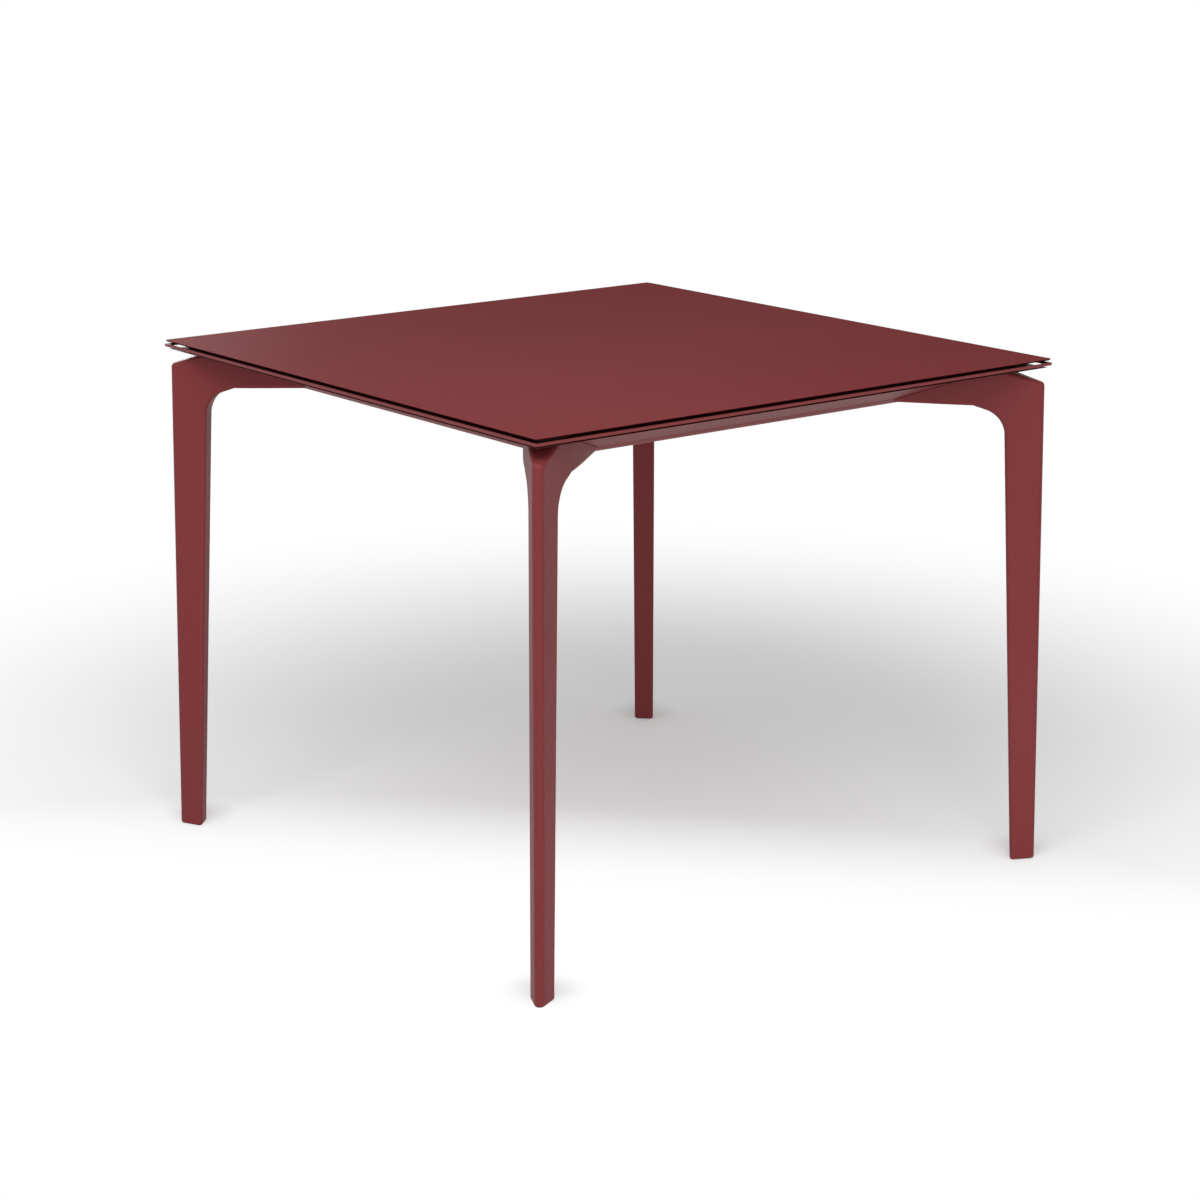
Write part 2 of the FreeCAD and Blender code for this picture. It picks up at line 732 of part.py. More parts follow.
studs = new_body("panel_studs")
studs.AllowCompound = True
stud_sketch = sketch_on(studs, "XY_Plane", "stud_circles", level(panel_thickness))
nuts = new_body("panel_nuts")
nuts.AllowCompound = True
nut_seat = level(seat_drop + rail_wall)
flange_sketch = sketch_on(nuts, "XY_Plane", "nut_flanges", nut_seat)
hex_sketch = sketch_on(nuts, "XY_Plane", "nut_hexagons", nut_seat)
bore_sketch = sketch_on(nuts, "XY_Plane", "nut_bores", nut_seat)
for x, y in stud_places:
    circle(stud_sketch, x, y, stud_radius)
    circle(flange_sketch, x, y, nut_flange_radius)
    hexagon(hex_sketch, x, y, nut_corner_radius)
    circle(bore_sketch, x, y, stud_radius + fit_gap)
pad(studs, stud_sketch, "stud_pads", stud_length, reverse=True)
pad(nuts, flange_sketch, "nut_flange_pads", nut_flange_height, reverse=True)
pad(nuts, hex_sketch, "nut_hexagon_pads", nut_height, reverse=True)
pocket(nuts, bore_sketch, "nut_bore_cuts")

# Stiffeners: hat sections welded under the middle of the sheet

stiffener_offset = size("stiffener_offset", 110.0)
stiffener_height = size("stiffener_height", 26.0)
stiffener_foot = size("stiffener_foot", 14.0)
stiffener_crown = size("stiffener_crown", 30.0)
stiffener_wall = size("stiffener_wall", 2.0)
stiffener_end_gap = size("stiffener_end_gap", 3.0)


def make_stiffener(label, hand):
    stiffener = new_body(label)
    section = sketch_on(stiffener, "XZ_Plane", label + "_section")
    upper = level(panel_thickness)
    crown = stiffener_crown / 2
    foot = crown + stiffener_foot
    shape = [
        (-foot, upper), (-crown + stiffener_wall, upper),
        (-crown + stiffener_wall, upper - stiffener_height + stiffener_wall),
        (crown - stiffener_wall, upper - stiffener_height + stiffener_wall),
        (crown - stiffener_wall, upper), (foot, upper), (foot, upper - stiffener_wall),
        (crown, upper - stiffener_wall), (crown, upper - stiffener_height), (-crown, upper - stiffener_height),
        (-crown, upper - stiffener_wall), (-foot, upper - stiffener_wall),
    ]
    outline(section, [(x + stiffener_offset * hand, z) for x, z in shape])
    length = (half - ledge_inset - stiffener_end_gap) * 2
    pad(stiffener, section, label + "_pad", length, side="Symmetric")
    return stiffener


stiffeners = [make_stiffener("stiffener_left", -1), make_stiffener("stiffener_right", 1)]

# Glides: moulded plugs that close the legs' hollow feet

glide_flange = size("glide_flange", 1.5)
glide_stem = size("glide_stem", 14.0)

stem_share = (glide_stem + glide_stand) / core_height
stem_front = core_foot_front + (core_top_front - core_foot_front) * stem_share + fit_gap
stem_back = core_foot_back - fit_gap


def make_glide(label, turn, corner_x, corner_y):
    glide = new_body(label)
    base = sketch_on(glide, "XY_Plane", label + "_base")
    back, front = core_foot_back + glide_flange, core_foot_front - glide_flange
    wide, narrow = core_foot_back_width + glide_flange, core_foot_front_width + glide_flange
    outline(base, [(-front, -narrow), (-front, narrow), (-back, wide), (-back, -wide)])
    pad(glide, base, label + "_base_pad", glide_stand)
    stem = sketch_on(glide, "XY_Plane", label + "_stem")
    wide, narrow = core_foot_back_width - fit_gap, core_foot_front_width - fit_gap
    outline(stem, [(-stem_front, -narrow), (-stem_front, narrow), (-stem_back, wide), (-stem_back, -wide)])
    pad(glide, stem, label + "_stem_pad", glide_stem)
    place_at_corner(glide, turn, corner_x, corner_y)
    return glide


glides = [make_glide("glide_" + name, turn, x, y) for name, turn, x, y in corner_places]

document.recompute()

for item in document.Objects:
    if "Invalid" in item.State or "Error" in item.State:
        raise RuntimeError("%s failed: %s" % (item.Name, item.State))
    if item.TypeId == "PartDesign::Pocket" and not item.Shape.Volume < item.BaseFeature.Shape.Volume:
        raise RuntimeError("%s cuts nothing" % item.Name)

pieces = [top_panel] + rails + legs + blocks + bolt_groups + strips + [studs, nuts] + stiffeners + glides
for piece in pieces:
    if piece.Shape.isNull() or not piece.Shape.isValid():
        raise RuntimeError("%s has no valid shape" % piece.Label)

os.makedirs("parts", exist_ok=True)
for piece in pieces:
    piece.Shape.exportStep("parts/%s.step" % piece.Label)
    box = piece.Shape.BoundBox
    print("%-26s %d solids %10.0f mm3  z %7.2f to %7.2f" % (
        piece.Label, len(piece.Shape.Solids), piece.Shape.Volume, box.ZMin, box.ZMax))
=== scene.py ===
import math
import bpy
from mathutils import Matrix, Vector


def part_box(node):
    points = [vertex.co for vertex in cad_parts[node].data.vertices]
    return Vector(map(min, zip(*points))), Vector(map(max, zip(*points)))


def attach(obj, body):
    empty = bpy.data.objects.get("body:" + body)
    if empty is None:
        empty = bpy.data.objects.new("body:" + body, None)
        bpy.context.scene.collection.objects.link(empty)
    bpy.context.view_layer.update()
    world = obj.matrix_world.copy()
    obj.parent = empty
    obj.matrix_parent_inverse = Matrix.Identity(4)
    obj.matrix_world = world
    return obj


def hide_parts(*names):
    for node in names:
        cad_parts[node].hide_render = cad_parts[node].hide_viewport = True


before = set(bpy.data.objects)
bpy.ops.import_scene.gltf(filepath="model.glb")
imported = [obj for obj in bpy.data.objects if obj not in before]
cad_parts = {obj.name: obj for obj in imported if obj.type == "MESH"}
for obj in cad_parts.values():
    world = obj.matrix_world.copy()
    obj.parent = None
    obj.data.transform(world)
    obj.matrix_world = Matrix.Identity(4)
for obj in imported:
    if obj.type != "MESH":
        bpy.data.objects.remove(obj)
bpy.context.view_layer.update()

# Frame rails: four hollow aluminium extrusions, mitred and welded into one square.
# The frame is linished and stoved in maroon polyester powder, which leaves a fine satin grain
# over the faint lines that the die drew along each bar.

maroon = (0.164, 0.026, 0.0273)
# A lighter maroon for the arrises: partly thinner powder, partly a painted highlight.
thin_coat_and_highlight_maroon = (0.29, 0.075, 0.077)
# A near-black maroon: painted shade inside the shadow gap under the top's rim, where the surfaces only lie in
# deep shade.
gap_shade_colour = (0.018, 0.0021, 0.0021)
half_side = 0.450


def add(tree, kind, name, values=None, **settings):
    """Adds a node; a value that is a socket is linked, any other value is set."""
    node = tree.nodes.new(kind)
    node.name = node.label = name
    for key, setting in settings.items():
        setattr(node, key, setting)
    for key, value in (values or {}).items():
        if isinstance(value, bpy.types.NodeSocket):
            tree.links.new(value, node.inputs[key])
        else:
            node.inputs[key].default_value = value
    return node


def own_place(tree):
    return add(tree, "ShaderNodeTexCoord", "place").outputs["Object"]


def work_out(tree, name, operation, first, second, third=0.0, **settings):
    return add(tree, "ShaderNodeMath", name, {0: first, 1: second, 2: third},
               operation=operation, **settings).outputs["Value"]


def measure(tree, name, operation, first, second):
    """A number worked out from two vectors."""
    return add(tree, "ShaderNodeVectorMath", name, {0: first, 1: second},
               operation=operation).outputs["Value"]


def fold(tree, place):
    """The same place in the one quarter of the table where x and y are positive."""
    return add(tree, "ShaderNodeVectorMath", "folded", {0: place}, operation="ABSOLUTE").outputs["Vector"]


def remap(tree, name, value, old=(0.0, 1.0), new=(0.0, 1.0), **settings):
    """Moves a value from the old range to the new one and holds it there."""
    return add(tree, "ShaderNodeMapRange", name, {
        "Value": value, "From Min": old[0], "From Max": old[1], "To Min": new[0], "To Max": new[1],
    }, **settings).outputs["Result"]


def noise(tree, name, place, scale, detail):
    return add(tree, "ShaderNodeTexNoise", name, {
        "Vector": place, "Scale": scale, "Detail": detail}).outputs["Fac"]


def mix_colours(tree, name, share, *colours, **settings):
    """Blends two colours, each of them a socket or its red, green and blue."""
    first, second = [
        colour if isinstance(colour, bpy.types.NodeSocket) else (*colour, 1.0) for colour in colours]
    return add(tree, "ShaderNodeMix", name, {"Factor": share, "A": first, "B": second},
               data_type="RGBA", **settings).outputs["Result"]


def make_edge_wear_and_highlight():
    """Mask of the arrises: how far a slightly rounded normal leaves the flat one, broken up by a noise."""
    usual_width = 0.0012
    arris_starts, arris_full = 0.995, 0.86
    least_share = 0.55
    group = bpy.data.node_groups.new("edge_wear_and_highlight", "ShaderNodeTree")
    width = group.interface.new_socket("Width", in_out="INPUT", socket_type="NodeSocketFloat")
    width.default_value = usual_width
    group.interface.new_socket("Mask", in_out="OUTPUT", socket_type="NodeSocketFloat")
    inputs = add(group, "NodeGroupInput", "inputs").outputs
    rounded = add(group, "ShaderNodeBevel", "rounded", {"Radius": inputs["Width"]}, samples=4)
    flat = add(group, "ShaderNodeNewGeometry", "flat")
    turn = measure(group, "turn", "DOT_PRODUCT", rounded.outputs["Normal"], flat.outputs["Normal"])
    edge = remap(group, "edge", turn, (arris_starts, arris_full))
    patches = noise(group, "patches", own_place(group), scale=55.0, detail=3.0)
    share = remap(group, "share", patches, (0.35, 0.65), (least_share, 1.0))
    add(group, "NodeGroupOutput", "outputs", {"Mask": work_out(group, "mask", "MULTIPLY", edge, share)})
    return group


edge_wear_and_highlight = make_edge_wear_and_highlight()


def worn_edges(tree, width):
    return add(tree, "ShaderNodeGroup", "arris", {"Width": width}, node_tree=edge_wear_and_highlight).outputs["Mask"]


def make_powder_coat():
    """Stoved powder: colour drift, fused grain, orange peel, the metal under it, and lighter arrises: thinner
    powder and painted highlight.
    """
    drift_range, grain_range = (0.97, 1.03), (0.94, 1.06)
    gloss_spread = 0.12
    grain_height, metal_height = 0.35, 0.6
    group = bpy.data.node_groups.new("powder_coat", "ShaderNodeTree")
    sockets = group.interface
    for name in ("Colour", "Thin Coat and Highlight Colour"):
        sockets.new_socket(name, in_out="INPUT", socket_type="NodeSocketColor")
    for name in ("Grain per Metre", "Peel per Metre", "Roughness", "Thin Coat and Highlight Edges", "Metal Marks"):
        sockets.new_socket(name, in_out="INPUT", socket_type="NodeSocketFloat")
    sockets.new_socket("Colour", in_out="OUTPUT", socket_type="NodeSocketColor")
    for name in ("Roughness", "Height"):
        sockets.new_socket(name, in_out="OUTPUT", socket_type="NodeSocketFloat")
    inputs = add(group, "NodeGroupInput", "inputs").outputs
    place = own_place(group)
    drift = noise(group, "drift", place, scale=2.6, detail=3.0)
    grain = noise(group, "grain", place, inputs["Grain per Metre"], detail=1.0)
    peel = noise(group, "peel", place, inputs["Peel per Metre"], detail=1.5)

    shade = remap(group, "shade", drift, (0.3, 0.7), drift_range)
    fleck = remap(group, "fleck", grain, (0.25, 0.75), grain_range)
    both = work_out(group, "both", "MULTIPLY", shade, fleck)
    tint = mix_colours(group, "tint", 1.0, inputs["Colour"], both, blend_type="MULTIPLY")
    arris = add(group, "ShaderNodeGroup", "arris", node_tree=edge_wear_and_highlight).outputs["Mask"]
    # Painted highlight: the arrises are lightened, partly for the thinner powder there, partly standing in
    # for the light they catch.
    thin_coat_and_highlight = work_out(group, "thin_coat_and_highlight", "MULTIPLY", arris, inputs["Thin Coat and Highlight Edges"])
    colour = mix_colours(group, "colour", thin_coat_and_highlight, tint, inputs["Thin Coat and Highlight Colour"])

    gloss = work_out(group, "gloss", "MULTIPLY_ADD", peel, gloss_spread, inputs["Roughness"])
    matt = work_out(group, "matt", "SUBTRACT", gloss, gloss_spread / 2.0, use_clamp=True)
    skin = work_out(group, "skin", "MULTIPLY_ADD", grain, grain_height, peel)
    height = work_out(group, "height", "MULTIPLY_ADD", inputs["Metal Marks"], metal_height, skin)
    add(group, "NodeGroupOutput", "outputs", {"Colour": colour, "Roughness": matt, "Height": height})
    return group


powder_coat = make_powder_coat()


def make_painted_gap_shade():
    """Mask of the narrow gap round the rim, where a near-black colour paints in the shade that lies inside
    the gap.
    """
    soft_edge, gap_depth = 0.0007, 0.030
    group = bpy.data.node_groups.new("painted_gap_shade", "ShaderNodeTree")
    for name in ("Inset", "Above", "Below"):
        group.interface.new_socket(name, in_out="INPUT", socket_type="NodeSocketFloat")
    group.interface.new_socket("Mask", in_out="OUTPUT", socket_type="NodeSocketFloat")
    inputs = add(group, "NodeGroupInput", "inputs").outputs
    parts = add(group, "ShaderNodeSeparateXYZ", "parts", {"Vector": fold(group, own_place(group))}).outputs
    out = work_out(group, "out", "MAXIMUM", parts["X"], parts["Y"])
    inset = work_out(group, "inset", "SUBTRACT", half_side, out)
    inward = work_out(group, "inward", "SUBTRACT", inset, inputs["Inset"])
    reached = remap(group, "reached", inward, (0.0, soft_edge), interpolation_type="SMOOTHSTEP")
    outer = work_out(group, "outer", "LESS_THAN", inset, gap_depth)
    above = work_out(group, "above", "GREATER_THAN", parts["Z"], inputs["Above"])
    below = work_out(group, "below", "LESS_THAN", parts["Z"], inputs["Below"])
    band = work_out(group, "band", "MULTIPLY", above, below)
    ring = work_out(group, "ring", "MULTIPLY", reached, outer)
    add(group, "NodeGroupOutput", "outputs", {"Mask": work_out(group, "mask", "MULTIPLY", band, ring)})
    return group


painted_gap_shade = make_painted_gap_shade()


def raise_relief(tree, shader, height, strength, distance):
    bump = add(tree, "ShaderNodeBump", "relief", {
        "Strength": strength, "Distance": distance, "Height": height})
    tree.links.new(bump.outputs["Normal"], shader.inputs["Normal"])


def coated(name, marks, grain, peel, roughness, thin_coat_and_highlight_edges, relief, sheen, shade_in_gap=None):
    """Powder-coated metal; marks is the noise scale in x, y and z of the metal's surface under the coat."""
    coat_depth = 0.00006
    material = bpy.data.materials.new(name)
    material.use_nodes = True
    tree = material.node_tree
    shader = tree.nodes["Principled BSDF"]
    shader.inputs["Specular IOR Level"].default_value = sheen
    stretch = add(tree, "ShaderNodeMapping", "stretch", {"Vector": own_place(tree), "Scale": marks})
    coat = add(tree, "ShaderNodeGroup", "coat", node_tree=powder_coat, values={
        "Colour": (*maroon, 1.0), "Thin Coat and Highlight Colour": (*thin_coat_and_highlight_maroon, 1.0),
        "Grain per Metre": grain, "Peel per Metre": peel, "Roughness": roughness, "Thin Coat and Highlight Edges": thin_coat_and_highlight_edges,
        "Metal Marks": noise(tree, "metal", stretch.outputs["Vector"], scale=1.0, detail=2.0)}).outputs
    colour = coat["Colour"]
    # Painted shade: inside the gap under the rim the colour is blended towards near black.
    if shade_in_gap:
        gap_shade_mask = add(tree, "ShaderNodeGroup", "gap_shade_mask", node_tree=painted_gap_shade, values={
            "Inset": shade_in_gap["inset"], "Above": shade_in_gap["above"], "Below": shade_in_gap["below"]}).outputs["Mask"]
        gap_shade_share = work_out(tree, "gap_shade_share", "MULTIPLY", gap_shade_mask, shade_in_gap["share"])
        colour = mix_colours(tree, "gap_shade_painted", gap_shade_share, colour, gap_shade_colour)
    tree.links.new(colour, shader.inputs["Base Color"])
    tree.links.new(coat["Roughness"], shader.inputs["Roughness"])
    raise_relief(tree, shader, coat["Height"], relief, coat_depth)
    return material


def dress(node, material):
    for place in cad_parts[node].material_slots:
        place.material = material


# Painted shade for the rails: their faces inside the gap under the top's rim are blended towards near black.
rail_gap_shade = {"share": 0.85, "inset": 0.0005, "above": 0.72764, "below": 1.0}
for run, die_lines, sides in (("across", (0.5, 420.0, 420.0), ("front", "back")),
                              ("along", (420.0, 0.5, 420.0), ("right", "left"))):
    rail_coat = coated("maroon_rail_" + run, die_lines, grain=2400.0, peel=330.0, roughness=0.48,
                       thin_coat_and_highlight_edges=0.15, relief=0.4, sheen=0.26, shade_in_gap=rail_gap_shade)
    for side in sides:
        dress("rail_" + side, rail_coat)

# Corner welds: a short upright bead inside each mitre, where the four rails are joined into a frame.
# The outer faces are dressed flush; these beads are left as laid and are coated with the frame.

weld_corner, weld_foot = 0.3134, 0.6855
weld_coat = coated("maroon_weld", marks=(60.0, 60.0, 60.0), grain=2200.0, peel=300.0, roughness=0.50,
                   thin_coat_and_highlight_edges=0.10, relief=0.4, sheen=0.2)


def start_tree(name, sizes):
    """A geometry tree with the seats as its first input and the named sizes, in metres, after it."""
    tree = bpy.data.node_groups.new(name, "GeometryNodeTree")
    sockets = tree.interface
    sockets.new_socket("Seats", in_out="INPUT", socket_type="NodeSocketGeometry")
    for size in sizes:
        sockets.new_socket(size, in_out="INPUT", socket_type="NodeSocketFloat")
    sockets.new_socket("Turn Seed", in_out="INPUT", socket_type="NodeSocketInt")
    sockets.new_socket("Finish", in_out="INPUT", socket_type="NodeSocketMaterial")
    sockets.new_socket("Pieces", in_out="OUTPUT", socket_type="NodeSocketGeometry")
    return tree, add(tree, "NodeGroupInput", "sizes").outputs


def set_at_seats(tree, sizes, shape):
    """One shape on each seat, each turned by hand a little differently."""
    turn = add(tree, "FunctionNodeRandomValue", "turn", data_type="FLOAT", values={
        "Max": 2.0 * math.pi, "Seed": sizes["Turn Seed"]})
    about = add(tree, "ShaderNodeCombineXYZ", "about", {"Z": turn.outputs["Value"]})
    set_out = add(tree, "GeometryNodeInstanceOnPoints", "set_out", {
        "Points": sizes["Seats"], "Instance": shape, "Rotation": about.outputs["Vector"]})
    real = add(tree, "GeometryNodeRealizeInstances", "real", {"Geometry": set_out.outputs["Instances"]})
    finished = add(tree, "GeometryNodeSetMaterial", "finished", {
        "Geometry": real.outputs["Geometry"], "Material": sizes["Finish"]})
    add(tree, "NodeGroupOutput", "pieces", {"Pieces": finished.outputs["Geometry"]})


def fit_pieces(name, tree, seats, finish, seed, **sizes):
    """Runs a tree on its seats and keeps the result as a plain mesh."""
    crease = math.radians(32.0)
    points = bpy.data.meshes.new(name + "_seats")
    points.from_pydata(seats, [], [])
    piece = bpy.data.objects.new(name, points)
    bpy.context.scene.collection.objects.link(piece)
    step = piece.modifiers.new("fitting", "NODES")
    step.node_group = tree
    given = {"Turn Seed": seed, "Finish": finish}
    given.update({key.replace("_", " ").title(): value for key, value in sizes.items()})
    for socket in tree.interface.items_tree:
        if socket.in_out == "INPUT" and socket.name in given:
            step[socket.identifier] = given[socket.name]
    made = bpy.data.meshes.new_from_object(piece.evaluated_get(bpy.context.evaluated_depsgraph_get()))
    made.name = name
    piece.modifiers.remove(step)
    piece.data = made
    made.materials.clear()
    made.materials.append(finish)
    made.polygons.foreach_set("material_index", [0] * len(made.polygons))
    made.shade_smooth()
    made.set_sharp_from_angle(angle=crease)
    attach(piece, "root")
    return piece


def round_the_table(x, y):
    """The same place on each of the four sides."""
    return [(x, y), (-y, x), (-x, -y), (y, -x)]


def make_weld_bead():
    """Overlapping drops of metal, one pitch apart, up to the bead's height."""
    lean, flatness = 0.3, 0.6
    tree, sizes = start_tree("weld_bead", ("Radius", "Pitch", "Height"))
    ripples = work_out(tree, "ripples", "DIVIDE", sizes["Height"], sizes["Pitch"])
    rise = add(tree, "ShaderNodeCombineXYZ", "rise", {"Z": sizes["Pitch"]})
    run = add(tree, "GeometryNodeMeshLine", "run", {"Count": ripples, "Offset": rise.outputs["Vector"]})
    drop = add(tree, "GeometryNodeMeshUVSphere", "drop", {
        "Segments": 14, "Rings": 8, "Radius": sizes["Radius"]})
    flat_drop = add(tree, "GeometryNodeTransform", "flat_drop", {
        "Geometry": drop.outputs["Mesh"], "Rotation": (lean, 0.0, 0.0), "Scale": (1.0, 1.0, flatness)})
    bead = add(tree, "GeometryNodeInstanceOnPoints", "bead", {
        "Points": run.outputs["Mesh"], "Instance": flat_drop.outputs["Geometry"]})
    set_at_seats(tree, sizes, bead.outputs["Instances"])
    return tree


weld_seats = [(x, y, weld_foot) for x, y in round_the_table(weld_corner, weld_corner)]
welds = fit_pieces("corner_welds", make_weld_bead(), weld_seats, weld_coat, seed=2,
                   radius=0.0032, pitch=0.0016, height=0.045)

# Corner blocks: pieces sawn from aluminium bar, mitred to the corner and drilled and tapped from below.
# They lie inside the welded corners and stay bare, with saw lines on the faces and bright arrises.

corners = ("front_right", "back_right", "back_left", "front_left")


def start_bare(name, metallic):
    """A material for an uncoated piece: its tree, its shader and the piece's own coordinates."""
    material = bpy.data.materials.new(name)
    material.use_nodes = True
    shader = material.node_tree.nodes["Principled BSDF"]
    shader.inputs["Metallic"].default_value = metallic
    return material, material.node_tree, shader, own_place(material.node_tree)


def rough_from(tree, shader, share, smooth, rough):
    tree.links.new(remap(tree, "spread", share, new=(smooth, rough)), shader.inputs["Roughness"])


def make_sawn_aluminium():
    material, tree, shader, place = start_bare("sawn_aluminium", metallic=1.0)
    lines = add(tree, "ShaderNodeMapping", "lines", {"Vector": place, "Scale": (60.0, 60.0, 1900.0)})
    saw = noise(tree, "saw", lines.outputs["Vector"], scale=1.0, detail=3.0)
    oxide = noise(tree, "oxide", place, scale=70.0, detail=4.0)
    metal = mix_colours(tree, "metal", oxide, (0.54, 0.55, 0.56), (0.68, 0.69, 0.70))
    bright = mix_colours(tree, "bright", worn_edges(tree, 0.0008), metal, (0.80, 0.80, 0.81))
    tree.links.new(bright, shader.inputs["Base Color"])
    rough_from(tree, shader, saw, smooth=0.30, rough=0.55)
    raise_relief(tree, shader, saw, strength=0.5, distance=0.00008)
    return material


sawn_aluminium = make_sawn_aluminium()
for corner in corners:
    dress("corner_block_" + corner, sawn_aluminium)

# Top: one aluminium sheet, cut square with small rounded corners and planed to a thin bevel under the rim.
# It is stoved in the same powder, laid on thinner and flatter than on the rails.

# Painted shade: the bevel under the rim is near black; its faint lighter arris is partly painted highlight.
sheet_gap_shade = {"share": 1.0, "inset": -0.01, "above": 0.0, "below": 0.73968}
sheet_coat = coated("maroon_sheet", marks=(14.0, 14.0, 14.0), grain=2600.0, peel=380.0, roughness=0.62,
                    thin_coat_and_highlight_edges=0.06, relief=0.3, sheen=0.007, shade_in_gap=sheet_gap_shade)
dress("top_panel", sheet_coat)

# Stiffeners: two hat sections folded from thin sheet, spot-welded under the middle of the top.
# They are coated with it, so the powder bridges the seams.

spots_in_row = 10
spot_margin, spot_height = 0.007, 0.7355
stiffener_coat = coated("maroon_stiffener", marks=(260.0, 3.0, 260.0), grain=2500.0, peel=340.0,
                        roughness=0.55, thin_coat_and_highlight_edges=0.2, relief=0.4, sheen=0.15)
spot_seats = []
for node in ("stiffener_left", "stiffener_right"):
    dress(node, stiffener_coat)
    low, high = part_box(node)
    spot_pitch = (high[1] - low[1]) / spots_in_row
    for x in (low[0] + spot_margin, high[0] - spot_margin):
        spot_seats += [(x, low[1] + spot_pitch * (step + 0.5), spot_height) for step in range(spots_in_row)]


def circle(tree, name, points, radius):
    return add(tree, "GeometryNodeCurvePrimitiveCircle", name, {
        "Resolution": points, "Radius": radius}).outputs["Curve"]


def make_spot_weld():
    """The rim that the electrode presses up."""
    tree, sizes = start_tree("spot_weld", ("Radius", "Rim"))
    ring = circle(tree, "ring", 24, sizes["Radius"])
    rim = circle(tree, "rim", 8, sizes["Rim"])
    pressed = add(tree, "GeometryNodeCurveToMesh", "pressed", {"Curve": ring, "Profile Curve": rim})
    set_at_seats(tree, sizes, pressed.outputs["Mesh"])
    return tree


spots = fit_pieces("spot_welds", make_spot_weld(), spot_seats, stiffener_coat, seed=4,
                   radius=0.0026, rim=0.0003)

# Studs: twelve plated steel studs with a rolled thread, welded to the underside of the top.
# They drop through the gaskets and the rails' inner ledge.

stud_row = (-0.220, 0.0, 0.220)
stud_line, stud_root = 0.302, 0.7375
stud_places = [place for along in stud_row for place in round_the_table(along, -stud_line)]


def make_zinc_plate():
    material, tree, shader, place = start_bare("zinc_plate", metallic=1.0)
    cloud = noise(tree, "cloud", place, scale=240.0, detail=4.0)
    passive = mix_colours(tree, "passive", cloud, (0.50, 0.53, 0.57), (0.64, 0.63, 0.58))
    rubbed = mix_colours(tree, "rubbed", worn_edges(tree, 0.0003), passive, (0.72, 0.73, 0.74))
    tree.links.new(rubbed, shader.inputs["Base Color"])
    rough_from(tree, shader, cloud, smooth=0.24, rough=0.42)
    pits = noise(tree, "pits", place, scale=5000.0, detail=2.0)
    raise_relief(tree, shader, pits, strength=0.25, distance=0.00002)
    return material


zinc_plate = make_zinc_plate()


def share_of(tree, name, size, share):
    return work_out(tree, name, "MULTIPLY", size, share)


def shift_up(tree, name, geometry, rise):
    by = add(tree, "ShaderNodeCombineXYZ", name + "_by", {"Z": rise}).outputs["Vector"]
    return add(tree, "GeometryNodeTransform", name, {
        "Geometry": geometry, "Translation": by}).outputs["Geometry"]


def bar(tree, name, sides, radius, depth, bottom):
    """A straight bar standing on the height called bottom."""
    blank = add(tree, "GeometryNodeMeshCylinder", name, {"Vertices": sides, "Radius": radius, "Depth": depth})
    middle = work_out(tree, name + "_middle", "MULTIPLY_ADD", depth, 0.5, bottom)
    return shift_up(tree, name + "_place", blank.outputs["Mesh"], middle)


def taper(tree, name, sides, top, foot, depth, bottom):
    """A round bar whose radius runs from foot to top, standing on the height called bottom."""
    blank = add(tree, "GeometryNodeMeshCone", name, {
        "Vertices": sides, "Radius Top": top, "Radius Bottom": foot, "Depth": depth})
    return shift_up(tree, name + "_place", blank.outputs["Mesh"], bottom)


def join(tree, name, *shapes):
    joined = add(tree, "GeometryNodeJoinGeometry", name)
    for shape in shapes:
        tree.links.new(shape, joined.inputs["Geometry"])
    return joined.outputs["Geometry"]


def threaded_bar(tree, radius, length, pitch):
    """A rolled thread from zero up to its length: a core with one ridge wound round it, and a turned tip."""
    sides = 24
    core_radius = work_out(tree, "core_radius", "MULTIPLY_ADD", pitch, -0.5, radius)
    tip_start = work_out(tree, "tip_start", "SUBTRACT", length, pitch)
    core = bar(tree, "core", sides, core_radius, tip_start, 0.0)
    tip_radius = share_of(tree, "tip_radius", core_radius, 0.8)
    tip_foot = share_of(tree, "tip_foot", core_radius, 0.98)
    tip_height = share_of(tree, "tip_height", pitch, 1.2)
    tip_sunk = work_out(tree, "tip_sunk", "SUBTRACT", length, tip_height)
    tip = taper(tree, "tip", sides, tip_radius, tip_foot, tip_height, tip_sunk)
    rise = work_out(tree, "ridge_rise", "MULTIPLY_ADD", pitch, -2.0, length)
    turns = work_out(tree, "turns", "DIVIDE", rise, pitch)
    helix = add(tree, "GeometryNodeCurveSpiral", "helix", {
        "Resolution": 20, "Rotations": turns, "Start Radius": core_radius, "End Radius": core_radius,
        "Height": rise})
    section = circle(tree, "section", 4, share_of(tree, "ridge_half", pitch, 0.48))
    upright = add(tree, "GeometryNodeSetCurveNormal", "upright", mode="Z_UP", values={
        "Curve": helix.outputs["Curve"]})
    ridge = add(tree, "GeometryNodeCurveToMesh", "ridge", {
        "Curve": upright.outputs["Curve"], "Profile Curve": section, "Fill Caps": True})
    return join(tree, "joined", core, tip, shift_up(tree, "ridge_place", ridge.outputs["Mesh"], pitch))


def make_threaded_stud():
    tree, sizes = start_tree("threaded_stud", ("Radius", "Length", "Pitch"))
    thread = threaded_bar(tree, sizes["Radius"], sizes["Length"], sizes["Pitch"])
    hung = add(tree, "GeometryNodeTransform", "hung", {"Geometry": thread, "Rotation": (math.pi, 0.0, 0.0)})
    set_at_seats(tree, sizes, hung.outputs["Geometry"])
    return tree


stud_seats = [(x, y, stud_root) for x, y in stud_places]
studs = fit_pieces("threaded_studs", make_threaded_stud(), stud_seats, zinc_plate, seed=3,
                   radius=0.0025, length=0.016, pitch=0.0008)
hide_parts("panel_studs")

